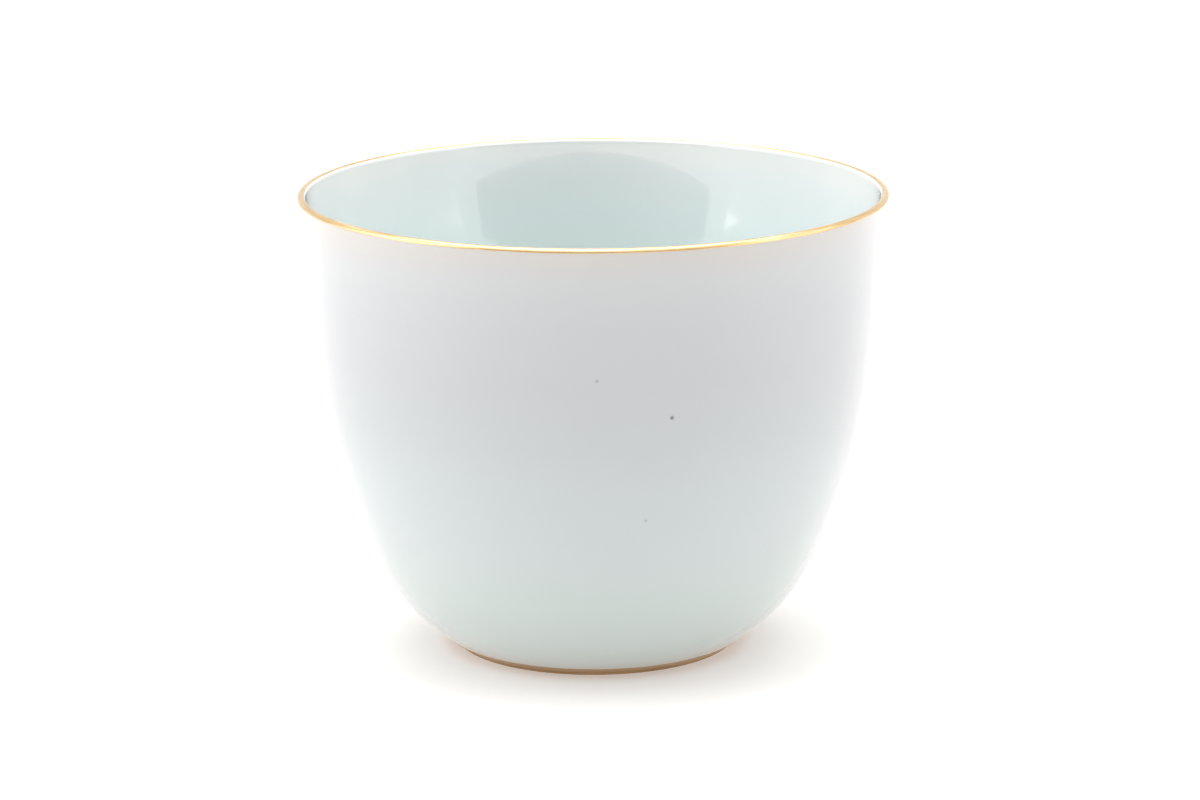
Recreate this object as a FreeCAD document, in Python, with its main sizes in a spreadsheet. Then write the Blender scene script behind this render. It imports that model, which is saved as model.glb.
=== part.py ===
import FreeCAD, Part
import math
import os
import Sketcher

# A small teacup without a handle: one porcelain body, three coats of glaze and two bands of gilding.
# Everything is turned about the Z axis. The origin is the middle of the foot's bearing plane, +Z is up.
# Each piece is its own body, with one half section in the XZ plane, turned all the way round.

# The driving sizes: lengths in millimetres, slopes in degrees above level.
SIZES = {
    "rim_diameter": 68.0,  # across the gilded lip
    "height": 53.3,  # table to the top of the gilded lip
    "foot_diameter": 32.6,  # across the gilded foot band
    "lip_thickness": 0.95,  # across the rounded lip, glazed but not gilded
    "glaze_thickness": 0.2,  # every coat
    "gilding_thickness": 0.08,  # both bands
    "foot_band_height": 0.5,  # the upright edge at the bottom of the foot
    "foot_edge": 0.1,  # the bevels beside the bearing ring
    "foot_ring_width": 2.1,  # radial width of the foot ring
    "well_depth": 2.2,  # the recess inside the foot ring
    "well_draft": 12.0,  # the well's wall leans in by this angle
    "well_corner_radius": 1.2,  # where the well's wall meets its ceiling
    "well_glaze_margin": 0.4,  # the well's glaze stops this far above the table
    "floor_thickness": 2.6,  # clay between the well and the inside of the cup
    "foot_slope": 30.5,  # the outside, where it leaves the foot band
    "belly_slope": 63.0,  # the outside, where the low arc meets the belly arc
    "shoulder_slope": 84.5,  # the outside, where the belly arc meets the upper arc
    "lip_slope": 87.8,  # the outside, at the lip
    "outer_upper_ratio": 5.75,  # the outside's upper radius over its belly radius
    "heel_slope": 20.0,  # the inside, where the floor arc meets the belly arc
    "inner_shoulder_slope": 76.5,  # the inside, where the belly arc meets the upper arc
    "inner_flare_slope": 77.7,  # the inside, where the wall starts to thin towards the lip
    "inner_lip_slope": 84.35,  # the inside, at the lip
    "inner_upper_ratio": 30.0,  # the inside's upper radius over its belly radius
    "inner_flare_ratio": 5.2,  # the radius of the thinning part over the inside's belly radius
}

doc = FreeCAD.newDocument("Teacup")

sheet = doc.addObject("Spreadsheet::Sheet", "Sizes")
for row, (name, size) in enumerate(SIZES.items(), start=1):
    sheet.set(f"A{row}", name)
    sheet.set(f"B{row}", str(size))
    sheet.setAlias(f"B{row}", name)
doc.recompute()

# What follows from the driving sizes. A slope of the surface becomes the direction of a spoke,
# which runs from an arc's centre to the surface: 90 degrees less.
FORMULAS = {
    "foot_radius": "Sizes.foot_diameter / 2 - Sizes.gilding_thickness",
    "foot_top": "Sizes.foot_band_height",
    "floor_top": "Sizes.well_depth + Sizes.floor_thickness",
    "lip_center_x": "Sizes.rim_diameter / 2 - Sizes.gilding_thickness - Sizes.lip_thickness / 2",
    "lip_center_z": "Sizes.height - Sizes.gilding_thickness - Sizes.lip_thickness / 2",
    "glazed_lip_radius": "Sizes.lip_thickness / 2",
    "clay_lip_radius": "glazed_lip_radius - Sizes.glaze_thickness",
    "gilded_lip_radius": "glazed_lip_radius + Sizes.gilding_thickness",
    "outer_lip_x": "lip_center_x + clay_lip_radius * sin(Sizes.lip_slope)",
    "outer_lip_z": "lip_center_z - clay_lip_radius * cos(Sizes.lip_slope)",
    "inner_lip_x": "lip_center_x - clay_lip_radius * sin(Sizes.inner_lip_slope)",
    "inner_lip_z": "lip_center_z + clay_lip_radius * cos(Sizes.inner_lip_slope)",
    "floor_spoke": "-90",
    "foot_spoke": "Sizes.foot_slope - 90",
    "belly_spoke": "Sizes.belly_slope - 90",
    "shoulder_spoke": "Sizes.shoulder_slope - 90",
    "lip_spoke": "Sizes.lip_slope - 90",
    "heel_spoke": "Sizes.heel_slope - 90",
    "inner_shoulder_spoke": "Sizes.inner_shoulder_slope - 90",
    "inner_flare_spoke": "Sizes.inner_flare_slope - 90",
    "inner_lip_spoke": "Sizes.inner_lip_slope - 90",
    "crest_spoke": "Sizes.lip_slope",
    "far_lip_spoke": "Sizes.inner_lip_slope + 90",
    "glazed_foot_x": "foot_radius + Sizes.glaze_thickness * sin(Sizes.foot_slope)",
    "glazed_foot_z": "foot_top - Sizes.glaze_thickness * cos(Sizes.foot_slope)",
    "glazed_floor": "floor_top + Sizes.glaze_thickness",
    "gilded_foot_radius": "Sizes.foot_diameter / 2",
    "gilding_bottom": "Sizes.foot_edge",
    "gilding_outer_top": "foot_top - Sizes.gilding_thickness / tan(Sizes.foot_slope)",
    "bearing_outer": "foot_radius - Sizes.foot_edge",
    "well_mouth": "foot_radius - Sizes.foot_ring_width",
    "bearing_inner": "well_mouth + Sizes.foot_edge",
    "foot_edge": "Sizes.foot_edge",
    "well_wall": "Sizes.well_draft + 90",
    "well_ceiling": "Sizes.well_depth",
    "well_corner": "Sizes.well_corner_radius",
    "margin": "Sizes.well_glaze_margin",
    "margin_x": "well_mouth - (margin - foot_edge) * tan(Sizes.well_draft)",
    "glazed_margin_x": "margin_x - Sizes.glaze_thickness / cos(Sizes.well_draft)",
    "glazed_ceiling": "well_ceiling - Sizes.glaze_thickness",
    "glazed_corner": "well_corner - Sizes.glaze_thickness",
}


# A wall's profile is a chain of arcs, each tangent to the next: the low arc, the belly arc, and the arcs
# above it. Their slopes are given, and so is the ratio of each radius above to the belly radius. The two
# radii left are the answer of two straight-line equations: what the arcs add up to across and upwards is
# the way from end to end.
def wall_formulas(side, slopes, arcs, start, end, glaze_sign):
    low_across = f"{side}_low_across"
    low_up = f"{side}_low_up"
    high_across = f"{side}_high_across"
    high_up = f"{side}_high_up"
    across = f"({end[0]} - {start[0]})"
    up = f"({end[1]} - {start[1]})"
    scale = f"({low_across} * {high_up} - {high_across} * {low_up})"
    ratios = [("belly", "1"), *arcs]
    spans = list(zip(slopes[1:], slopes[2:]))
    formulas = {
        low_across: f"sin({slopes[1]}) - sin({slopes[0]})",
        low_up: f"cos({slopes[0]}) - cos({slopes[1]})",
        high_across: " + ".join(
            f"{ratio} * (sin({above}) - sin({below}))" for (_, ratio), (below, above) in zip(ratios, spans)
        ),
        high_up: " + ".join(
            f"{ratio} * (cos({below}) - cos({above}))" for (_, ratio), (below, above) in zip(ratios, spans)
        ),
        f"{side}_low_radius": f"({high_up} * {across} - {high_across} * {up}) / {scale}",
        f"{side}_belly_radius": f"({low_across} * {up} - {low_up} * {across}) / {scale}",
    }
    for arc, ratio in arcs:
        formulas[f"{side}_{arc}_radius"] = f"{ratio} * {side}_belly_radius"
    for arc in ("low", "belly", *(name for name, _ in arcs)):
        formulas[f"glazed_{side}_{arc}"] = f"{side}_{arc}_radius {glaze_sign} Sizes.glaze_thickness"
    return formulas


FORMULAS.update(
    wall_formulas(
        "outer",
        ("Sizes.foot_slope", "Sizes.belly_slope", "Sizes.shoulder_slope", "Sizes.lip_slope"),
        [("upper", "Sizes.outer_upper_ratio")],
        ("foot_radius", "foot_top"),
        ("outer_lip_x", "outer_lip_z"),
        "+",
    )
)
FORMULAS.update(
    wall_formulas(
        "inner",
        (
            "0",
            "Sizes.heel_slope",
            "Sizes.inner_shoulder_slope",
            "Sizes.inner_flare_slope",
            "Sizes.inner_lip_slope",
        ),
        [("upper", "Sizes.inner_upper_ratio"), ("flare", "Sizes.inner_flare_ratio")],
        ("0", "floor_top"),
        ("inner_lip_x", "inner_lip_z"),
        "-",
    )
)

layout = doc.addObject("App::VarSet", "Layout")
for name in FORMULAS:
    layout.addProperty("App::PropertyFloat", name, "Layout", "")
for name, formula in FORMULAS.items():
    layout.setExpression(name, formula)
doc.recompute()

ORIGIN = (-1, 1)
LEVEL_AXIS = -1
UPRIGHT_AXIS = -2
START = 1
END = 2
CENTER = 3
NORMAL = FreeCAD.Vector(0, 0, 1)


def value(name):
    return getattr(layout, name)


def point(x, z):
    return FreeCAD.Vector(x, z, 0)


def along(origin, degrees, distance):
    angle = math.radians(degrees)
    return point(origin.x + distance * math.cos(angle), origin.y + distance * math.sin(angle))


# Adds a constraint whose size is bound to a named value of the layout.
def bind(sketch, name, *constraint):
    index = sketch.addConstraint(Sketcher.Constraint(*constraint, value(name)))
    sketch.setExpression(f"Constraints[{index}]", f"Layout.{name}")


def bind_angle(sketch, name, line):
    index = sketch.addConstraint(Sketcher.Constraint("Angle", line, math.radians(value(name))))
    sketch.setExpression(f"Constraints[{index}]", f"Layout.{name}")


def pin(sketch, place, x_name, z_name):
    bind(sketch, x_name, "DistanceX", *ORIGIN, *place)
    bind(sketch, z_name, "DistanceY", *ORIGIN, *place)


def join(sketch, first, second):
    sketch.addConstraint(Sketcher.Constraint("Coincident", *first, *second))


def put_on(sketch, place, line):
    sketch.addConstraint(Sketcher.Constraint("PointOnObject", *place, line))


def add_line(sketch, first, last, construction=False):
    return sketch.addGeometry(Part.LineSegment(first, last), construction)


def add_arc(sketch, center, radius, first_degrees, last_degrees):
    circle = Part.Circle(center, NORMAL, radius)
    arc = Part.ArcOfCircle(circle, math.radians(first_degrees), math.radians(last_degrees))
    return sketch.addGeometry(arc, False)


# A line from an arc's centre to one end of it, at a bound direction.
def add_spoke(sketch, arc, arc_end, center, radius, spoke_name):
    tip = along(center, value(spoke_name), radius)
    spoke = add_line(sketch, center, tip, True)
    join(sketch, (spoke, START), (arc, CENTER))
    join(sketch, (spoke, END), (arc, arc_end))
    bind_angle(sketch, spoke_name, spoke)
    return spoke


# A chain of arcs, each tangent to the next because both centres lie on the spoke to their common point.
# It runs anticlockwise from the place first, and gives back its arcs. The first free_radii radii are
# left to the place that the chain's end is joined to.
def add_chain(sketch, first, spokes, radii, free_radii=0):
    arcs = []
    here = first
    for index, radius_name in enumerate(radii):
        radius = value(radius_name)
        center = along(here, value(spokes[index]), -radius)
        arc = add_arc(sketch, center, radius, value(spokes[index]), value(spokes[index + 1]))
        spoke = add_spoke(sketch, arc, START, center, radius, spokes[index])
        if arcs:
            join(sketch, (arcs[-1], END), (arc, START))
            put_on(sketch, (arcs[-1], CENTER), spoke)
        if index >= free_radii:
            bind(sketch, radius_name, "Radius", arc)
        arcs.append(arc)
        here = along(center, value(spokes[index + 1]), radius)
    add_spoke(sketch, arcs[-1], END, center, radius, spokes[-1])
    return arcs


OUTER_SPOKES = ("foot_spoke", "belly_spoke", "shoulder_spoke", "lip_spoke")
INNER_SPOKES = (
    "floor_spoke",
    "heel_spoke",
    "inner_shoulder_spoke",
    "inner_flare_spoke",
    "inner_lip_spoke",
)
OUTER_CLAY = ("outer_low_radius", "outer_belly_radius", "outer_upper_radius", "clay_lip_radius")
OUTER_GLAZE = ("glazed_outer_low", "glazed_outer_belly", "glazed_outer_upper", "glazed_lip_radius")
INNER_CLAY = ("inner_low_radius", "inner_belly_radius", "inner_upper_radius", "inner_flare_radius")
INNER_GLAZE = ("glazed_inner_low", "glazed_inner_belly", "glazed_inner_upper", "glazed_inner_flare")


# The outside of the wall, from the foot up to the lip and round it to the last spoke.
def add_outside(sketch, x_name, z_name, radii, last_spoke):
    first = point(value(x_name), value(z_name))
    arcs = add_chain(sketch, first, OUTER_SPOKES + (last_spoke,), radii)
    pin(sketch, (arcs[0], START), x_name, z_name)
    return arcs


# The inside of the wall, from the axis up to the lip.
def add_inside(sketch, z_name, radii, free_radii=0):
    arcs = add_chain(sketch, point(0, value(z_name)), INNER_SPOKES, radii, free_radii)
    put_on(sketch, (arcs[0], START), UPRIGHT_AXIS)
    bind(sketch, z_name, "DistanceY", *ORIGIN, arcs[0], START)
    return arcs


# The quarter round of the lip from its crest to the inside of the wall, which fixes its radius.
def add_inner_lip(sketch, wall, radius_name):
    center = point(value("lip_center_x"), value("lip_center_z"))
    radius = value(radius_name)
    arc = add_arc(sketch, center, radius, value("crest_spoke"), value("far_lip_spoke"))
    pin(sketch, (arc, CENTER), "lip_center_x", "lip_center_z")
    join(sketch, (arc, END), (wall, END))
    add_spoke(sketch, arc, START, center, radius, "crest_spoke")
    return arc


# The recess inside the foot ring: its leaning wall, the round corner and the level ceiling.
def add_well(sketch, x_name, z_name, ceiling_name, corner_name):
    mouth = point(value(x_name), value(z_name))
    lean = math.radians(value("well_wall") - 90)
    radius = value(corner_name)
    center_z = value(ceiling_name) - radius
    center_x = mouth.x - (radius + (center_z - mouth.y) * math.sin(lean)) / math.cos(lean)
    center = point(center_x, center_z)
    wall_top = along(center, math.degrees(lean), radius)
    corner_top = along(center, 90, radius)
    wall = add_line(sketch, mouth, wall_top)
    corner = add_arc(sketch, center, radius, math.degrees(lean), 90)
    ceiling = add_line(sketch, corner_top, point(0, corner_top.y))
    pin(sketch, (wall, START), x_name, z_name)
    bind_angle(sketch, "well_wall", wall)
    sketch.addConstraint(Sketcher.Constraint("Tangent", wall, END, corner, START))
    sketch.addConstraint(Sketcher.Constraint("Tangent", corner, END, ceiling, START))
    bind(sketch, corner_name, "Radius", corner)
    sketch.addConstraint(Sketcher.Constraint("Horizontal", ceiling))
    put_on(sketch, (ceiling, END), UPRIGHT_AXIS)
    bind(sketch, ceiling_name, "DistanceY", *ORIGIN, ceiling, END)
    return wall, ceiling


# A line that closes the section between two places that are already fixed.
def close(sketch, first, second):
    line = add_line(sketch, sketch.getPoint(*first), sketch.getPoint(*second))
    join(sketch, (line, START), first)
    join(sketch, (line, END), second)
    return line


def draw_porcelain_body(sketch):
    outside = add_outside(sketch, "foot_radius", "foot_top", OUTER_CLAY, "far_lip_spoke")
    inside = add_inside(sketch, "floor_top", INNER_CLAY, free_radii=2)
    join(sketch, (inside[-1], END), (outside[-1], END))
    well_wall, ceiling = add_well(sketch, "well_mouth", "foot_edge", "well_ceiling", "well_corner")
    close(sketch, (ceiling, END), (inside[0], START))

    band_top = sketch.getPoint(outside[0], START)
    band_bottom = point(band_top.x, value("foot_edge"))
    band = add_line(sketch, band_top, band_bottom)
    join(sketch, (band, START), (outside[0], START))
    sketch.addConstraint(Sketcher.Constraint("Vertical", band))
    bind(sketch, "foot_edge", "DistanceY", *ORIGIN, band, END)

    bearing = add_line(sketch, point(value("bearing_outer"), 0), point(value("bearing_inner"), 0))
    put_on(sketch, (bearing, START), LEVEL_AXIS)
    put_on(sketch, (bearing, END), LEVEL_AXIS)
    bind(sketch, "bearing_outer", "DistanceX", *ORIGIN, bearing, START)
    bind(sketch, "bearing_inner", "DistanceX", *ORIGIN, bearing, END)
    close(sketch, (band, END), (bearing, START))
    close(sketch, (bearing, END), (well_wall, START))


def draw_outer_glaze(sketch):
    clay = add_outside(sketch, "foot_radius", "foot_top", OUTER_CLAY, "crest_spoke")
    glaze = add_outside(sketch, "glazed_foot_x", "glazed_foot_z", OUTER_GLAZE, "crest_spoke")
    close(sketch, (clay[0], START), (glaze[0], START))
    close(sketch, (clay[-1], END), (glaze[-1], END))


def draw_inner_glaze(sketch):
    clay = add_inside(sketch, "floor_top", INNER_CLAY)
    glaze = add_inside(sketch, "glazed_floor", INNER_GLAZE)
    clay_lip = add_inner_lip(sketch, clay[-1], "clay_lip_radius")
    glaze_lip = add_inner_lip(sketch, glaze[-1], "glazed_lip_radius")
    close(sketch, (clay[0], START), (glaze[0], START))
    close(sketch, (clay_lip, START), (glaze_lip, START))


def draw_base_glaze(sketch):
    clay_wall, clay_ceiling = add_well(sketch, "margin_x", "margin", "well_ceiling", "well_corner")
    wall, ceiling = add_well(sketch, "glazed_margin_x", "margin", "glazed_ceiling", "glazed_corner")
    close(sketch, (clay_wall, START), (wall, START))
    close(sketch, (clay_ceiling, END), (ceiling, END))


def draw_lip_gilding(sketch):
    center = point(value("lip_center_x"), value("lip_center_z"))
    rounds = []
    for radius_name in ("glazed_lip_radius", "gilded_lip_radius"):
        radius = value(radius_name)
        arc = add_arc(sketch, center, radius, value("lip_spoke"), value("far_lip_spoke"))
        pin(sketch, (arc, CENTER), "lip_center_x", "lip_center_z")
        bind(sketch, radius_name, "Radius", arc)
        add_spoke(sketch, arc, START, center, radius, "lip_spoke")
        add_spoke(sketch, arc, END, center, radius, "far_lip_spoke")
        rounds.append(arc)
    close(sketch, (rounds[0], START), (rounds[1], START))
    close(sketch, (rounds[0], END), (rounds[1], END))


# The band lies on the foot's upright edge. Its top meets the cut edge of the outer glaze.
def draw_foot_gilding(sketch):
    clay_side = add_line(
        sketch,
        point(value("foot_radius"), value("gilding_bottom")),
        point(value("foot_radius"), value("foot_top")),
    )
    face = add_line(
        sketch,
        point(value("gilded_foot_radius"), value("gilding_bottom")),
        point(value("gilded_foot_radius"), value("gilding_outer_top")),
    )
    pin(sketch, (clay_side, START), "foot_radius", "gilding_bottom")
    pin(sketch, (clay_side, END), "foot_radius", "foot_top")
    pin(sketch, (face, START), "gilded_foot_radius", "gilding_bottom")
    pin(sketch, (face, END), "gilded_foot_radius", "gilding_outer_top")
    close(sketch, (clay_side, START), (face, START))
    close(sketch, (clay_side, END), (face, END))


# A section turned about the upright axis, all the way round or as equal sectors that join into one ring.
# Sectors keep the long faces of a thin band short.
def turned_body(label, draw_section, sectors=1):
    body = doc.addObject("PartDesign::Body", label)
    body.Label = label
    sketch = body.newObject("Sketcher::SketchObject", f"{label}_section")
    base = {feature.Role: feature for feature in body.Origin.OriginFeatures}
    sketch.AttachmentSupport = [(base["XZ_Plane"], "")]
    sketch.MapMode = "FlatFace"
    draw_section(sketch)
    turn = body.newObject("PartDesign::Revolution", f"{label}_turn")
    turn.Profile = sketch
    turn.ReferenceAxis = (sketch, ["V_Axis"])
    turn.Angle = 360.0 / sectors
    body.Tip = turn
    if sectors > 1:
        ring = body.newObject("PartDesign::PolarPattern", f"{label}_ring")
        ring.Originals = [turn]
        ring.Axis = (base["Z_Axis"], [""])
        ring.Angle = 360.0
        ring.Occurrences = sectors
        turn.Refine = False
        ring.Refine = False
        body.Tip = ring
    body.Placement = FreeCAD.Placement()
    return body


bodies = [
    turned_body("porcelain_body", draw_porcelain_body),
    turned_body("outer_glaze", draw_outer_glaze),
    turned_body("inner_glaze", draw_inner_glaze),
    turned_body("base_glaze", draw_base_glaze),
    turned_body("lip_gilding", draw_lip_gilding, sectors=8),
    turned_body("foot_gilding", draw_foot_gilding),
]
doc.recompute()

for item in doc.Objects:
    if "Invalid" in item.State or "Error" in item.State:
        raise RuntimeError(f"{item.Name} failed: {item.State}")
for body in bodies:
    shape = body.Shape
    if shape.isNull() or not shape.isValid() or len(shape.Solids) != 1:
        raise RuntimeError(f"{body.Label} is not one valid solid")

os.makedirs("parts", exist_ok=True)
for body in bodies:
    body.Shape.exportStep(f"parts/{body.Label}.step")
    box = body.Shape.optimalBoundingBox()
    size = f"{box.XLength:.2f} x {box.YLength:.2f} x {box.ZLength:.2f} mm"
    print(f"{body.Label}: {size}, {body.Shape.Volume / 1000:.3f} cm3")
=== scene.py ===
import math

import bpy
import numpy as np
from mathutils import Euler, Matrix, Vector


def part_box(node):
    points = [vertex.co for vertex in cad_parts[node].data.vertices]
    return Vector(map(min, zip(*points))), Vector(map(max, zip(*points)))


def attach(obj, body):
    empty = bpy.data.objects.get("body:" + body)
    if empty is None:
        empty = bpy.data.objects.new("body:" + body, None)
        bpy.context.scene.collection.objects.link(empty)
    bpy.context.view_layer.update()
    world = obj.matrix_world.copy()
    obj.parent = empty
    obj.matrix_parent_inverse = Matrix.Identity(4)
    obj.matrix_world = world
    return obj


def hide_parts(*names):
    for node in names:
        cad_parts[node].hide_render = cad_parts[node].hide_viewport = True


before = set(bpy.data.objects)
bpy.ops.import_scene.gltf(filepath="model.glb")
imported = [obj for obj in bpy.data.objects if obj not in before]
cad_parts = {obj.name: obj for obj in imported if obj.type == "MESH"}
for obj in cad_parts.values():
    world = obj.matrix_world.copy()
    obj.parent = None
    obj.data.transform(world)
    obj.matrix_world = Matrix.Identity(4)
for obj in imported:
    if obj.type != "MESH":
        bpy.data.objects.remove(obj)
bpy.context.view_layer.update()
mm = 0.001  # metres in a millimetre
print("frame loaded:", len(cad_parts), "pieces")


# The sizes that the turned shapes share, in millimetres, from the pieces they stand for.

# The low and the high corner of a piece's box.
def boxOf(node):
    low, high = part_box(node)
    return np.array(low) / mm, np.array(high) / mm


lipHigh = boxOf("lip_gilding")[1]
glazeHigh = boxOf("outer_glaze")[1]
clayHigh = boxOf("porcelain_body")[1]
insideLow = boxOf("inner_glaze")[0]
footHigh = boxOf("foot_gilding")[1]

coat = glazeHigh[0] - clayHigh[0]  # how thick the glaze is
gilding = lipHigh[0] - glazeHigh[0]  # how far the gold stands out from the glaze
sunk = 0.04  # the hidden side of a glaze or gold lies this far inside what it covers

cup = {
    "lipRadius": 0.475,  # half the thickness of the glazed lip
    "outerSlopes": (30.5, 63.0, 84.5, 87.8),  # degrees above level, where one arc meets the next
    "outerRatios": (1.0, 5.75),  # the radius of the belly arc and each arc above it, over the belly arc's
    "innerSlopes": (0.0, 20.0, 75.4, 78.0, 85.2),
    "innerRatios": (1.0, 20.0, 3.0),
    "around": 384,  # steps round the cup
}
lipCenter = np.array([glazeHigh[0] - cup["lipRadius"], lipHigh[2] - gilding - cup["lipRadius"]])
clayLip = cup["lipRadius"] - coat
footRadius = footHigh[0] - gilding
footTop = footHigh[2]
floorTop = insideLow[2]


# A profile is a list of points (radius, height) with the way that the surface faces at each.

# Points on an arc that turns from one slope to the next. At slope a the point is the centre plus the radius
# along (sin a, -cos a).
def arcPoints(start, radius, slopes, steps):
    slope = np.radians(np.linspace(slopes[0], slopes[1], steps + 1))
    facing = np.stack([np.sin(slope), -np.cos(slope)], axis=1)
    center = np.asarray(start) - radius * facing[0]
    return center + radius * facing, facing


# The radii that take a chain of tangent arcs from start to end. The low arc's and the belly arc's are the
# answer of two straight-line equations, and each further arc's is a ratio of the belly arc's.
def wallRadii(slopes, ratios, start, end):
    across, up = np.diff(np.sin(np.radians(slopes))), -np.diff(np.cos(np.radians(slopes)))
    high = np.array([np.dot(ratios, across[1:]), np.dot(ratios, up[1:])])
    low = np.array([across[0], up[0]])
    lowRadius, bellyRadius = np.linalg.solve(np.stack([low, high], axis=1), np.asarray(end) - start)
    return [lowRadius, *(ratio * bellyRadius for ratio in ratios)]


# The wall as a chain of arcs: each point of the clay's curve plus a lift along the way that it faces. The
# side is 1 where the wall faces away from the axis, and -1 where it faces in.
def wallCurve(slopes, ratios, start, end, side, lift, steps):
    points = []
    facings = []
    here = np.asarray(start, float)
    for index, radius in enumerate(wallRadii(slopes, ratios, start, end)):
        arc, facing = arcPoints(here, radius, slopes[index:index + 2], steps[index])
        here = arc[-1]
        keep = slice(0, None) if index == len(ratios) else slice(0, -1)
        points.append((arc + side * lift * facing)[keep])
        facings.append(side * facing[keep])
    return np.concatenate(points), np.concatenate(facings)


# The point in one direction round the lip: its centre plus the radius along (cos, sin) of the angle.
def lipPoint(radius, degrees):
    turn = np.radians(degrees)
    return lipCenter + radius * np.array([np.cos(turn), np.sin(turn)])


# The outside, from the top of the foot band to the lip.
def outsideCurve(lift, steps):
    return wallCurve(
        cup["outerSlopes"],
        cup["outerRatios"],
        (footRadius, footTop),
        lipPoint(clayLip, cup["outerSlopes"][-1] - 90),
        1,
        lift,
        steps,
    )


# The inside, from the middle of the floor to the lip.
def insideCurve(lift, steps):
    return wallCurve(
        cup["innerSlopes"],
        cup["innerRatios"],
        (0.0, floorTop),
        lipPoint(clayLip, cup["innerSlopes"][-1] + 90),
        -1,
        lift,
        steps,
    )


# Points round the lip from one direction to another: its centre plus the radius along (cos, sin).
def lipCurve(radius, first, last, steps):
    turn = np.radians(np.linspace(first, last, steps + 1))
    facing = np.stack([np.cos(turn), np.sin(turn)], axis=1)
    return lipCenter + radius * facing, facing


# The recess under the cup, in millimetres.
well = {
    "depth": 2.2,  # from the table to the clay
    "draft": 12.0,  # degrees that its wall leans in
    "cornerRadius": 1.2,
    "ringWidth": 2.1,
    "edge": 0.1,  # the bevels beside the bearing ring
    "glazeMargin": 0.4,  # the glaze stops this far above the table
}


# The recess from its mouth up a straight leaning wall, round a corner arc and along a level line in to the
# axis. The lift moves all three towards the open side.
def wellCurve(lift, bottom, steps):
    lean = math.radians(well["draft"])
    radius = well["cornerRadius"] - lift
    ceiling = well["depth"] - lift
    mouth = footRadius - well["ringWidth"] - (bottom - well["edge"]) * math.tan(lean) - lift / math.cos(lean)
    centerZ = ceiling - radius
    centerX = mouth - (radius + (centerZ - bottom) * math.sin(lean)) / math.cos(lean)
    turn = np.linspace(lean, math.pi / 2, steps[1] + 1)
    corner = np.stack([centerX + radius * np.cos(turn), centerZ + radius * np.sin(turn)], axis=1)
    cornerFacing = -np.stack([np.cos(turn), np.sin(turn)], axis=1)
    share = np.linspace(0, 1, steps[0], endpoint=False)[:, None]
    wall = np.array([mouth, bottom]) * (1 - share) + corner[0] * share
    wallFacing = np.repeat(cornerFacing[:1], steps[0], axis=0)
    inward = np.linspace(centerX, 0, steps[2] + 1)[1:]
    flat = np.stack([inward, np.full(steps[2], ceiling)], axis=1)
    flatFacing = np.repeat(cornerFacing[-1:], steps[2], axis=0)
    return np.concatenate([wall, corner, flat]), np.concatenate([wallFacing, cornerFacing, flatFacing])


# Turns a profile round the Z axis into one closed mesh. The surface point is the profile's point at each
# angle, pushed along the way it faces by push(radius, height, angle). A profile that starts and ends on the
# axis closes in a pole at each end, and any other one closes on itself. It goes anticlockwise round the
# solid, with the axis on its left side, so that the faces point outwards.
def turnedPiece(name, profile, facing, around, push=None):
    poles = profile[0, 0] < 1e-6
    angle = np.linspace(0, 2 * math.pi, around, endpoint=False)
    rows = slice(1, -1) if poles else slice(0, None)
    radius, height = profile[rows, 0][:, None], profile[rows, 1][:, None]
    out, up = facing[rows, 0][:, None], facing[rows, 1][:, None]
    reach = np.zeros((radius.shape[0], around)) if push is None else push(radius, height, angle[None, :])
    ringRadius = radius + reach * out
    ring = np.stack(
        [ringRadius * np.cos(angle), ringRadius * np.sin(angle), height + reach * up],
        axis=2,
    )
    count = ring.shape[0]
    index = np.arange(count * around).reshape(count, around)
    lower = index if not poles else index[:-1]
    upper = np.roll(index, -1, axis=0) if not poles else index[1:]
    quads = np.stack([lower, np.roll(lower, -1, axis=1), np.roll(upper, -1, axis=1), upper], axis=2)
    faces = quads.reshape(-1, 4).tolist()
    points = ring.reshape(-1, 3)
    if poles:
        ends = np.stack([[0, 0, profile[0, 1]], [0, 0, profile[-1, 1]]])
        first, last = len(points), len(points) + 1
        points = np.concatenate([points, ends])
        start, end = index[0], index[-1]
        faces += np.stack([np.full(around, first), np.roll(start, -1), start], axis=1).tolist()
        faces += np.stack([end, np.roll(end, -1), np.full(around, last)], axis=1).tolist()
    mesh = bpy.data.meshes.new(name)
    mesh.from_pydata((points * mm).tolist(), [], faces)
    mesh.update()
    mesh.shade_smooth()
    piece = bpy.data.objects.new(name, mesh)
    bpy.context.scene.collection.objects.link(piece)
    return piece


# Gives a piece its material, and its place in the frame as the node that it stands for.
def finishPiece(piece, node, material):
    piece.data.materials.append(material)
    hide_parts(node)
    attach(piece, "root")
    return piece


# Turns a sRGB hex colour into the linear colour that a shader wants.
def linear(hexColor):
    channels = np.array([int(hexColor[i:i + 2], 16) / 255 for i in (0, 2, 4)])
    flat = np.where(channels <= 0.04045, channels / 12.92, ((channels + 0.055) / 1.055) ** 2.4)
    return (*flat.tolist(), 1.0)


# Adds one node with its settings and links. A setting whose name is a socket's goes to that socket.
def addNode(tree, kind, links=None, sockets=None, **settings):
    node = tree.nodes.new(kind)
    for key, value in settings.items():
        setattr(node, key, value)
    for key, value in (sockets or {}).items():
        node.inputs[key].default_value = value
    for key, source in (links or {}).items():
        tree.links.new(source, node.inputs[key])
    return node


# An empty material and its node tree.
def newMaterial(name):
    material = bpy.data.materials.new(name)
    material.use_nodes = True
    material.node_tree.nodes.clear()
    return material, material.node_tree


# Sets a colour ramp's stops, each a place from 0 to 1 and a hex colour.
def setRamp(node, stops):
    ramp = node.color_ramp
    while len(ramp.elements) < len(stops):
        ramp.elements.new(0.5)
    for element, (position, hexColor) in zip(ramp.elements, stops):
        element.position = position
        element.color = linear(hexColor)


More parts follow.
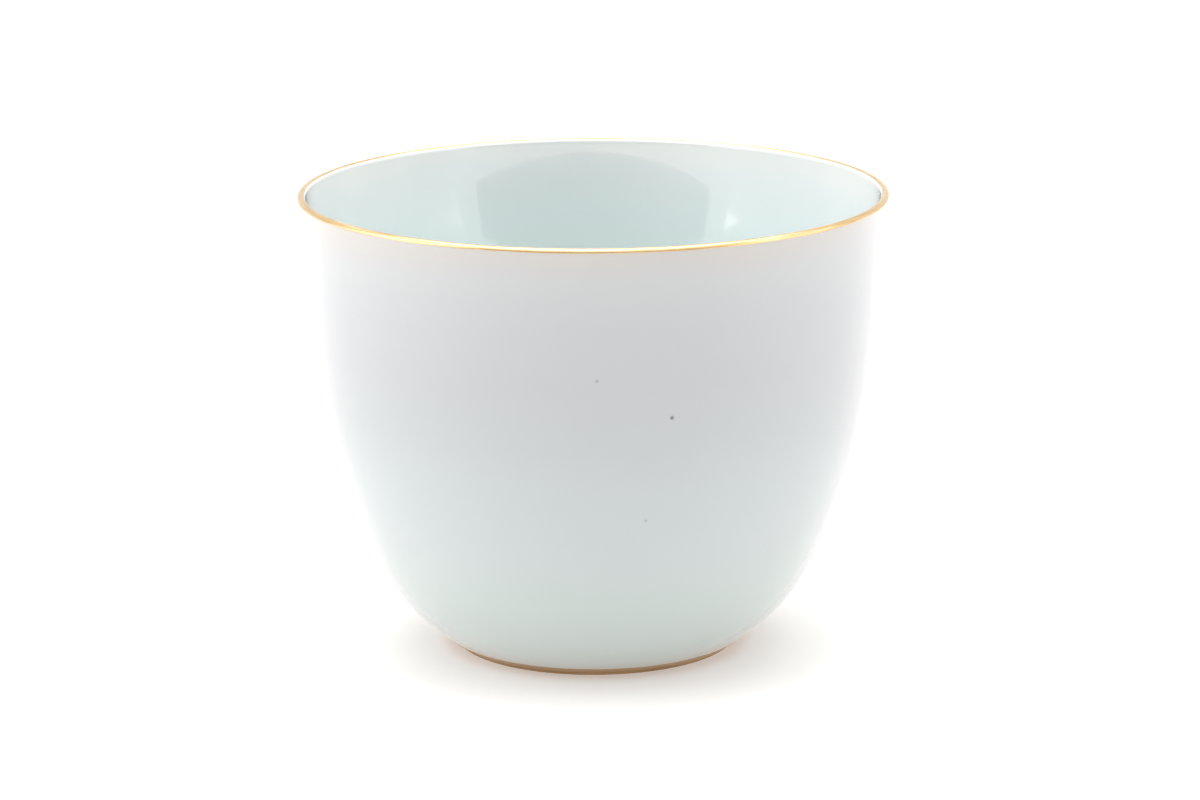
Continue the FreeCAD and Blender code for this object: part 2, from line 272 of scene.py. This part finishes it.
speckColor = "5a4a3a"
glazeIor = 1.55
glazeDetail = {"cloud": 3.0, "peel": 2.0, "glossSpread": 0.2, "coatRoughness": 0.03, "peelDepth": 0.01}


# Celadon-tinted glaze over white porcelain, fired glossy, with clear reflections. A ramp up the height gives
# its colour: a faint blue-green that deepens where the glaze pools low down and a warmer white towards the
# lip.
# Painted light and painted shade are laid into each copy's ramp, so the outside copy is darker and the inside
# copy lighter.
def glazedPorcelain(name, look):
    material, tree = newMaterial(name)
    place = addNode(tree, "ShaderNodeTexCoord").outputs["Object"]
    height = addNode(tree, "ShaderNodeSeparateXYZ", {"Vector": place}).outputs["Z"]
    cloud = addNode(
        tree, "ShaderNodeTexNoise", {"Vector": place},
        {"Scale": 1 / (look["cloudSize"] * mm), "Detail": glazeDetail["cloud"], "Roughness": 0.5},
    ).outputs["Fac"]
    wander = addNode(
        tree, "ShaderNodeMath", {0: cloud},
        {1: look["wander"] * mm, 2: -0.5 * look["wander"] * mm}, operation="MULTIPLY_ADD",
    ).outputs[0]
    level = addNode(tree, "ShaderNodeMath", {0: height, 1: wander}, operation="ADD").outputs[0]
    share = addNode(
        tree, "ShaderNodeMapRange", {"Value": level},
        {"From Min": look["low"] * mm, "From Max": look["high"] * mm},
    ).outputs["Result"]
    tint = addNode(tree, "ShaderNodeValToRGB", {"Fac": share})
    setRamp(tint, look["stops"])
    color = tint.outputs["Color"]
    for angle, at, size, strength in look["specks"]:
        turn = math.radians(angle)
        center = np.array([speckRadius(at) * math.cos(turn), speckRadius(at) * math.sin(turn), at]) * mm
        away = addNode(
            tree, "ShaderNodeVectorMath", {0: place}, {1: center.tolist()}, operation="DISTANCE",
        ).outputs["Value"]
        halo = addNode(
            tree, "ShaderNodeMapRange", {"Value": away},
            {"From Min": 0.35 * size * mm, "From Max": size * mm, "To Min": strength, "To Max": 0.0},
        ).outputs["Result"]
        color = addNode(
            tree, "ShaderNodeMix", {"Factor": halo, "A": color}, {"B": linear(speckColor)}, data_type="RGBA",
        ).outputs["Result"]
    peel = addNode(
        tree, "ShaderNodeTexNoise", {"Vector": place},
        {"Scale": 1 / (look["peelSize"] * mm), "Detail": glazeDetail["peel"], "Roughness": 0.45},
    ).outputs["Fac"]
    bump = addNode(
        tree, "ShaderNodeBump", {"Height": peel},
        {"Strength": look["peelStrength"], "Distance": glazeDetail["peelDepth"] * mm},
    ).outputs["Normal"]
    spread = glazeDetail["glossSpread"]
    gloss = addNode(
        tree, "ShaderNodeMapRange", {"Value": cloud},
        {"To Min": look["roughness"] * (1 - spread), "To Max": look["roughness"] * (1 + spread)},
    ).outputs["Result"]
    shader = addNode(
        tree, "ShaderNodeBsdfPrincipled", {"Base Color": color, "Roughness": gloss, "Normal": bump},
        {
            "IOR": glazeIor, "Coat IOR": glazeIor,
            "Coat Weight": look["coat"], "Coat Roughness": glazeDetail["coatRoughness"],
        },
    )
    addNode(tree, "ShaderNodeOutputMaterial", {"Surface": shader.outputs["BSDF"]})
    return material


outerSteps = (40, 60, 50)  # points along each arc of the outside


# The outside's radius at a height, read off its own curve.
def speckRadius(at):
    curve, _ = outsideCurve(coat, outerSteps)
    return float(np.interp(at, curve[:, 1], curve[:, 0]))


# The tint runs from low to high, in mm, and wander is how far a cloudy noise shifts it. All sizes are in mm.
# The outside's ramp is lighter and greener low down, partly from pooled glaze and partly painted light from
# the white table below. It is darkest round the middle of the wall, painted shade for the side that faces the
# dim opening in front. At the top, under the lip, it turns a warmer white.
outerLookPaintedLightAndShade = {
    "stops": (
        (0.0, "c4cecb"), (0.2, "c5d1ce"), (0.34, "c5cecf"), (0.45, "c2cbcc"), (0.57, "c0c6c8"),
        (0.7, "bfc3c6"), (0.82, "c2c6c9"), (0.93, "c9cccd"), (1.0, "d2cdc7"),
    ),
    "low": 0.0, "high": 53.0, "wander": 4.0, "cloudSize": 18.0,
    "peelSize": 1.6, "peelStrength": 0.15, "roughness": 0.12, "coat": 1.0,
    # iron specks: the angle round the cup, the height, the halo's radius, how dark
    "specks": ((-75.0, 34.0, 0.30, 0.85), (-89.5, 38.5, 0.25, 0.35), (-79.5, 22.0, 0.25, 0.3)),
}
# The inside's ramp is lighter all over than the outside's. This is painted light: the inside copy of the
# glaze is lit brighter than the outside copy. It is greener low down, where the glaze pools. Over the top few
# millimetres under the lip it is near white, painted light for the bright reflection there, together with
# glaze that runs thin.
innerLookPaintedLight = {
    "stops": (
        (0.0, "b8cbc6"), (0.3, "c6d6d2"), (0.6, "d6e2e0"), (0.77, "dee8e7"), (0.84, "e3ebeb"),
        (0.92, "ecf0f0"), (0.97, "f6f5f4"), (1.0, "f9f7f5"),
    ),
    "low": 5.0, "high": 53.0, "wander": 6.0, "cloudSize": 14.0,
    "peelSize": 1.6, "peelStrength": 0.15, "roughness": 0.12, "coat": 1.0,
    "specks": (),
}
baseLook = {
    "stops": ((0.0, "d3dedb"), (1.0, "c9d8d4")),
    "low": 0.4, "high": 2.2, "wander": 0.6, "cloudSize": 6.0,
    "peelSize": 1.6, "peelStrength": 0.2, "roughness": 0.14, "coat": 0.6,
    "specks": (),
}


# Bare fired porcelain, wiped clean of glaze and ground flat. It looks like fine dry sugar: matt, faintly
# warm, with a very fine grain.
def biscuitPorcelain(name, look):
    material, tree = newMaterial(name)
    place = addNode(tree, "ShaderNodeTexCoord").outputs["Object"]
    grain = addNode(
        tree, "ShaderNodeTexNoise", {"Vector": place},
        {"Scale": 1 / (look["grain"] * mm), "Detail": 4.0, "Roughness": 0.6},
    ).outputs["Fac"]
    tint = addNode(tree, "ShaderNodeValToRGB", {"Fac": grain})
    setRamp(tint, look["stops"])
    bump = addNode(
        tree, "ShaderNodeBump", {"Height": grain}, {"Strength": 0.4, "Distance": 0.02 * mm},
    ).outputs["Normal"]
    shader = addNode(
        tree, "ShaderNodeBsdfPrincipled", {"Base Color": tint.outputs["Color"], "Normal": bump},
        {"IOR": 1.5, "Roughness": look["roughness"]},
    )
    addNode(tree, "ShaderNodeOutputMaterial", {"Surface": shader.outputs["BSDF"]})
    return material


biscuitLook = {"stops": ((0.3, "cfc8bc"), (0.7, "e2ddd3")), "grain": 0.35, "roughness": 0.65}


# Fired liquid gold, banded by hand with a brush. Bright, with fine streaks round the cup where the brush
# ran and a slightly duller, browner tone where it lies thin.
def bandedGold(name, look):
    material, tree = newMaterial(name)
    place = addNode(tree, "ShaderNodeTexCoord").outputs["Object"]
    alongScale = 1 / (look["streakLength"] * mm)
    acrossScale = 1 / (look["streakWidth"] * mm)
    drawn = addNode(
        tree, "ShaderNodeMapping", {"Vector": place}, {"Scale": (alongScale, alongScale, acrossScale)},
    ).outputs["Vector"]
    streak = addNode(
        tree, "ShaderNodeTexNoise", {"Vector": drawn}, {"Scale": 1.0, "Detail": 3.0, "Roughness": 0.55},
    ).outputs["Fac"]
    tint = addNode(tree, "ShaderNodeValToRGB", {"Fac": streak})
    setRamp(tint, look["stops"])
    gloss = addNode(
        tree, "ShaderNodeMapRange", {"Value": streak},
        {"From Min": 0.3, "From Max": 0.7, "To Min": look["rough"][0], "To Max": look["rough"][1]},
    ).outputs["Result"]
    bump = addNode(
        tree, "ShaderNodeBump", {"Height": streak}, {"Strength": 0.25, "Distance": 0.01 * mm},
    ).outputs["Normal"]
    shader = addNode(
        tree, "ShaderNodeBsdfPrincipled",
        {"Base Color": tint.outputs["Color"], "Roughness": gloss, "Normal": bump}, {"Metallic": 1.0},
    )
    addNode(tree, "ShaderNodeOutputMaterial", {"Surface": shader.outputs["BSDF"]})
    return material


lipGoldLook = {
    "stops": ((0.3, "dab077"), (0.7, "f4d8a6")), "rough": (0.18, 0.32),
    "streakLength": 6.0, "streakWidth": 0.12,
}
footGoldLook = {
    "stops": ((0.3, "a98a63"), (0.7, "c9ac84")), "rough": (0.28, 0.45),
    "streakLength": 5.0, "streakWidth": 0.12,
}


# The slight unevenness of a thrown and dipped cup: level turning rings and slow waves round it. The reach is
# a sum of sines of the height and the angle, in millimetres, and it fades to nothing at the lip and the foot.
waves = {
    "rings": 0.0012, "ringGap": 3.4, "ringTilt": 0.6,
    "lobes": 0.030, "lobeCounts": (3, 5), "lobeTwists": (0.05, -0.08), "lobeShare": 0.6,
    "footFade": 6, "lipFade": 8, "seed": 7,
}
ringPhase, lobePhase, slantPhase = np.random.default_rng(waves["seed"]).uniform(0, 2 * math.pi, 3)


def unevenness(height, angle, ringSize):
    nearFoot = np.clip((height - footTop) / waves["footFade"], 0, 1)
    nearLip = np.clip((lipCenter[1] - height) / waves["lipFade"], 0, 1)
    rings = np.sin(2 * math.pi * height / waves["ringGap"] + ringPhase + waves["ringTilt"] * np.sin(angle))
    (wide, fine), (wideTwist, fineTwist) = waves["lobeCounts"], waves["lobeTwists"]
    wideLobes = np.sin(wide * angle + lobePhase + wideTwist * height)
    fineLobes = waves["lobeShare"] * np.sin(fine * angle + slantPhase + fineTwist * height)
    return nearFoot * nearLip * (ringSize * rings + waves["lobes"] * (wideLobes + fineLobes))


def reversedCurve(curve):
    points, facing = curve
    return points[::-1], facing[::-1]


def joined(*curves):
    return np.concatenate([c[0] for c in curves]), np.concatenate([c[1] for c in curves])


# The clay: inside, lip and outside of the wall, then the foot band, the bearing ring and the recess, all
# joined into one section that is turned round the axis.
def makePorcelainBody():
    inside = insideCurve(0.0, (24, 40, 12, 24))
    lip = lipCurve(clayLip, cup["innerSlopes"][-1] + 90, cup["outerSlopes"][-1] - 90, 12)
    outside = reversedCurve(outsideCurve(0.0, (24, 40, 30)))
    ringOut, ringIn = footRadius - well["edge"], footRadius - well["ringWidth"] + well["edge"]
    footPoints = np.array([[footRadius, well["edge"]], [ringOut, 0.0], [ringIn, 0.0]])
    footFacing = np.array([[1.0, 0.0], [0.0, -1.0], [0.0, -1.0]])
    under = wellCurve(0.0, well["edge"], (6, 12, 20))
    foot = footPoints, footFacing
    section = joined(inside, (lip[0][1:-1], lip[1][1:-1]), outside, foot, under)
    return turnedPiece("porcelainBody", *reversedCurve(section), cup["around"] // 2)


# The coat outside: the clay's curve lifted by the glaze's thickness, closed behind by one just inside the
# clay. Only the visible side is uneven.
def makeOuterGlaze():
    face = outsideCurve(coat, outerSteps)
    crest = lipCurve(cup["lipRadius"], cup["outerSlopes"][-1] - 90, cup["outerSlopes"][-1], 10)
    under = lipCurve(clayLip - sunk, cup["outerSlopes"][-1], cup["outerSlopes"][-1] - 90, 4)
    hidden = reversedCurve(outsideCurve(-sunk, (8, 12, 8)))
    profile, facing = joined(face, (crest[0][1:], crest[1][1:]), under, (hidden[0][1:], hidden[1][1:]))
    seen = np.arange(len(profile))[:, None] < len(face[0])
    return turnedPiece(
        "outerGlaze", profile, facing, cup["around"],
        lambda radius, height, angle: seen * unevenness(height, angle, waves["rings"]),
    )


innerFade = 20.0  # radius, in millimetres, where the inside's waves reach their full size


# The coat inside, made in the same way. It has no turning rings, only waves that fade out at the middle.
def makeInnerGlaze():
    face = insideCurve(coat, (36, 60, 24, 48))
    crest = lipCurve(cup["lipRadius"], cup["innerSlopes"][-1] + 90, cup["outerSlopes"][-1], 10)
    under = lipCurve(clayLip - sunk, cup["outerSlopes"][-1], cup["innerSlopes"][-1] + 90, 4)
    hidden = reversedCurve(insideCurve(-sunk, (8, 16, 4, 8)))
    section = joined(face, (crest[0][1:], crest[1][1:]), under, (hidden[0][1:], hidden[1][1:]))
    profile, facing = reversedCurve(section)
    seen = np.arange(len(profile))[1:-1, None] >= len(profile) - len(face[0])
    return turnedPiece(
        "innerGlaze", profile, facing, cup["around"],
        lambda radius, height, angle:
            seen * np.clip(radius / innerFade, 0, 1) * unevenness(height, angle, 0.0),
    )


# The patch of glaze in the recess: its curve lifted by the glaze's thickness, and one just inside the clay.
def makeBaseGlaze():
    face = wellCurve(coat, well["glazeMargin"], (10, 24, 30))
    hidden = wellCurve(-sunk, well["glazeMargin"], (4, 10, 8))
    profile, facing = joined(reversedCurve(face), hidden)
    return turnedPiece("baseGlaze", profile, facing, cup["around"] // 2)


# How far a band's two edges wander at each angle: a sum of sines whose sizes and phases are drawn from the
# band's own seed, with finer ones smaller.
def edgeWobble(band, around):
    rng = np.random.default_rng(band["seed"])
    angle = np.linspace(0, 2 * math.pi, around, endpoint=False)
    cycles = np.arange(2, 40)
    size = rng.normal(0, 1, (2, len(cycles))) / cycles ** 0.8
    phase = rng.uniform(0, 2 * math.pi, (2, len(cycles)))
    wobble = (size[:, :, None] * np.sin(cycles[None, :, None] * angle + phase[:, :, None])).sum(1)
    return wobble * band["wobble"] / np.abs(wobble).max(1, keepdims=True)


# The lip's gold: a thin band over the round of the lip, between two angles that each wander a little, as a
# brush leaves it. A point is the lip's centre plus the reach along (cos, sin) of the angle.
lipBand = {
    "thickness": 0.03,
    "outerEdge": 3.8,  # degrees round the lip from level, on the outside
    "innerEdge": 126.0,
    "wobble": 4.0,  # degrees
    "taper": 12,  # a side thins over one part in this many of the width
    "around": 1024,
    "steps": 36,
    "seed": 11,
}


def makeLipGilding():
    wobble = edgeWobble(lipBand, lipBand["around"])
    first = lipBand["outerEdge"] + wobble[0]
    last = lipBand["innerEdge"] + wobble[1]
    share = np.linspace(0, 1, lipBand["steps"] + 1)[:, None]
    turn = np.radians(first * (1 - share) + last * share)
    edge = np.clip(np.minimum(share, 1 - share) * lipBand["taper"], 0, 1)
    top = cup["lipRadius"] + lipBand["thickness"] * np.sqrt(edge)
    bottom = np.full_like(top, cup["lipRadius"] - sunk)
    reach = np.concatenate([np.broadcast_to(top, turn.shape), np.broadcast_to(bottom, turn.shape)[::-1]])
    turns = np.concatenate([turn, turn[::-1]])
    radius = lipCenter[0] + reach * np.cos(turns)
    height = lipCenter[1] + reach * np.sin(turns)
    return ringPiece("lipGilding", radius, height)


# A closed ring whose section changes round the cup: radius and height are whole grids, a row for each
# point of the section and a column for each angle.
def ringPiece(name, radius, height):
    count, around = radius.shape
    angle = np.linspace(0, 2 * math.pi, around, endpoint=False)
    points = np.stack([radius * np.cos(angle), radius * np.sin(angle), height], axis=2).reshape(-1, 3)
    index = np.arange(count * around).reshape(count, around)
    upper = np.roll(index, -1, axis=0)
    faces = np.stack([index, np.roll(index, -1, axis=1), np.roll(upper, -1, axis=1), upper], axis=2)
    mesh = bpy.data.meshes.new(name)
    mesh.from_pydata((points * mm).tolist(), [], faces.reshape(-1, 4).tolist())
    mesh.update()
    mesh.shade_smooth()
    piece = bpy.data.objects.new(name, mesh)
    bpy.context.scene.collection.objects.link(piece)
    return piece


# The foot's gold: a line up the foot and a little way on over the edge of the glaze. The path is followed by
# its own length. The lower edge is straight, and the upper one wanders along it as the brush did.
footBand = {
    "thickness": 0.04,
    "bottom": 0.05,  # above the table
    "overGlaze": 1.7,  # how far it runs on over the glaze
    "wobble": 0.12,
    "taper": 8,
    "around": 720,
    "steps": 24,
    "seed": 5,
}


def makeFootGilding():
    glaze, glazeFacing = outsideCurve(coat, outerSteps)
    upright, gap = 6, 0.02  # points up the foot, and how far below the glaze they stop
    rise = np.linspace(footBand["bottom"], glaze[0, 1] - gap, upright)
    path = np.concatenate([np.stack([np.full(upright, footRadius), rise], axis=1), glaze])
    facing = np.concatenate([np.tile([1.0, 0.0], (upright, 1)), glazeFacing])
    length = np.concatenate([[0.0], np.cumsum(np.hypot(*np.diff(path, axis=0).T))])
    top = rise[-1] - rise[0] + footBand["overGlaze"]
    wobble = edgeWobble(footBand, footBand["around"])
    share = np.linspace(0, 1, footBand["steps"] + 1)[:, None]
    along = share * (top + wobble[1])
    edge = np.clip(np.minimum(share, 1 - share) * footBand["taper"], 0, 1)
    out, up = (np.interp(along, length, facing[:, axis]) for axis in (0, 1))
    baseRadius, baseHeight = (np.interp(along, length, path[:, axis]) for axis in (0, 1))
    lift = footBand["thickness"] * np.sqrt(edge)
    radius = np.concatenate([baseRadius + lift * out, (baseRadius - sunk * out)[::-1]])
    height = np.concatenate([baseHeight + lift * up, (baseHeight - sunk * up)[::-1]])
    return ringPiece("footGilding", radius, height)


finishPiece(makePorcelainBody(), "porcelain_body", biscuitPorcelain("biscuitPorcelain", biscuitLook))
# The outside and inside glazes are two copies of one glaze: the outside's colour holds painted shade and the
# inside's holds painted light.
finishPiece(makeOuterGlaze(), "outer_glaze", glazedPorcelain("celadonGlazeOutsidePaintedLightAndShade", outerLookPaintedLightAndShade))
finishPiece(makeInnerGlaze(), "inner_glaze", glazedPorcelain("celadonGlazeInsidePaintedLight", innerLookPaintedLight))
finishPiece(makeBaseGlaze(), "base_glaze", glazedPorcelain("celadonGlazeUnderneath", baseLook))
finishPiece(makeLipGilding(), "lip_gilding", bandedGold("firedGoldLip", lipGoldLook))
finishPiece(makeFootGilding(), "foot_gilding", bandedGold("firedGoldFoot", footGoldLook))
print("cup made")


# The table: a white translucent sheet that the cup stands on, lit a little from below.
stage = {
    "floorSize": 3.0,  # metres
    "floorColor": "d8d8d8",
    "floorGlow": 0.36,
    "glowColor": "fff4ee",
    "worldLight": 0.62,  # how strongly the paper round the cup lights matt surfaces
}


# One square just below the foot. It is clear from below, so that the underside shows.
def makeFloor():
    half = stage["floorSize"] / 2
    mesh = bpy.data.meshes.new("floor")
    mesh.from_pydata(
        [(-half, -half, 0), (half, -half, 0), (half, half, 0), (-half, half, 0)], [], [(0, 1, 2, 3)],
    )
    mesh.transform(Matrix.Translation((0, 0, -0.02 * mm)))
    floor = bpy.data.objects.new("floor", mesh)
    bpy.context.scene.collection.objects.link(floor)
    material, tree = newMaterial("paleTableSheet")
    shader = addNode(
        tree, "ShaderNodeBsdfPrincipled", None,
        {
            "Base Color": linear(stage["floorColor"]), "Roughness": 0.6,
            "Emission Color": linear(stage["glowColor"]), "Emission Strength": stage["floorGlow"],
        },
    )
    clear = addNode(tree, "ShaderNodeBsdfTransparent")
    below = addNode(tree, "ShaderNodeNewGeometry").outputs["Backfacing"]
    mix = addNode(
        tree, "ShaderNodeMixShader", {0: below, 1: shader.outputs["BSDF"], 2: clear.outputs["BSDF"]},
    )
    addNode(tree, "ShaderNodeOutputMaterial", {"Surface": mix.outputs["Shader"]})
    mesh.materials.append(material)


makeFloor()


# A soft box: a large white light aimed at the cup. Its brightness is what it shows, in units of white.
def addSoftBox(name, place, target, width, height, brightness):
    light = bpy.data.lights.new(name, "AREA")
    light.shape = "RECTANGLE"
    light.size, light.size_y = width, height
    light.energy = brightness * math.pi * width * height
    lamp = bpy.data.objects.new(name, light)
    lamp.location = place
    lamp.rotation_euler = (Vector(target) - Vector(place)).to_track_quat("-Z", "Y").to_euler()
    lamp.visible_camera = False
    bpy.context.scene.collection.objects.link(lamp)


# For each: its place and what it is aimed at in metres, its width and height, and its brightness.
softBoxes = {
    "topBox": ((0.0, 0.1, 0.9), (0, 0, 0), 1.0, 1.0, 3.0),
    "leftBox": ((-0.8, -0.1, 0.45), (0, 0, 0.04), 0.8, 0.7, 1.7),
    "rightBox": ((0.8, -0.1, 0.45), (0, 0, 0.04), 0.8, 0.7, 0.7),
}
for boxName, settings in softBoxes.items():
    addSoftBox(boxName, *settings)


# White paper all round. It shows as white, and as a softer light where it only lights a matt surface.
def makeWorld():
    world = bpy.data.worlds.new("paleStudio")
    world.use_nodes = True
    tree = world.node_tree
    tree.nodes.clear()
    diffuse = addNode(tree, "ShaderNodeLightPath").outputs["Is Diffuse Ray"]
    strength = addNode(
        tree, "ShaderNodeMapRange", {"Value": diffuse}, {"To Min": 1.0, "To Max": stage["worldLight"]},
    ).outputs["Result"]
    paper = addNode(tree, "ShaderNodeBackground", {"Strength": strength}, {"Color": linear("ffffff")})
    addNode(tree, "ShaderNodeOutputWorld", {"Surface": paper.outputs["Background"]})
    bpy.context.scene.world = world


makeWorld()


# The dim opening in front of the cup that the camera looks through: a dark card with round corners. Metres.
opening = {"distance": 0.62, "width": 1.52, "height": 0.25, "corner": 0.08, "bottom": 0.03, "gray": "0c0c0c"}


# The outline is four quarter circles: each corner's centre plus the corner radius along (cos, sin).
def makeOpening():
    steps = 12  # along each quarter circle
    turn = np.linspace(0, math.pi / 2, steps + 1)
    halfWidth, corner = opening["width"] / 2, opening["corner"]
    points = []
    for quarter, (sideX, sideZ) in enumerate(((1, 1), (-1, 1), (-1, -1), (1, -1))):
        angle = turn + quarter * math.pi / 2
        x = sideX * (halfWidth - corner) + corner * np.cos(angle)
        z = sideZ * (opening["height"] / 2 - corner) + corner * np.sin(angle)
        points.append(np.stack([x, np.full_like(x, -opening["distance"]), z], axis=1))
    outline = np.concatenate(points)
    outline[:, 2] += opening["bottom"] + opening["height"] / 2
    mesh = bpy.data.meshes.new("opening")
    mesh.from_pydata(outline.tolist(), [], [tuple(range(len(outline)))])
    card = bpy.data.objects.new("opening", mesh)
    bpy.context.scene.collection.objects.link(card)
    material, tree = newMaterial("dimOpening")
    shader = addNode(tree, "ShaderNodeEmission", None, {"Color": linear(opening["gray"]), "Strength": 1.0})
    addNode(tree, "ShaderNodeOutputMaterial", {"Surface": shader.outputs["Emission"]})
    mesh.materials.append(material)
    card.visible_camera = False


makeOpening()

# Distances in metres, angles in degrees and the lens in millimetres.
camera = {"distance": 0.5, "height": 0.1497, "pan": -0.0768, "pitch": 13.638, "roll": -0.299, "lens": 132.9}


def makeCamera():
    data = bpy.data.cameras.new("camera")
    data.sensor_width = 36.0
    data.lens = camera["lens"]
    data.clip_start = 0.01
    data.clip_end = 10.0
    eye = bpy.data.objects.new("camera", data)
    turn = (
        Euler((0, 0, math.radians(camera["pan"]))).to_matrix()
        @ Euler((math.radians(90 - camera["pitch"]), 0, 0)).to_matrix()
        @ Euler((0, 0, math.radians(camera["roll"]))).to_matrix()
    )
    eye.matrix_world = Matrix.Translation((0, -camera["distance"], camera["height"])) @ turn.to_4x4()
    bpy.context.scene.collection.objects.link(eye)
    bpy.context.scene.camera = eye


makeCamera()
bpy.context.scene.view_settings.view_transform = "Standard"
bpy.context.scene.view_settings.look = "None"
print("studio set")
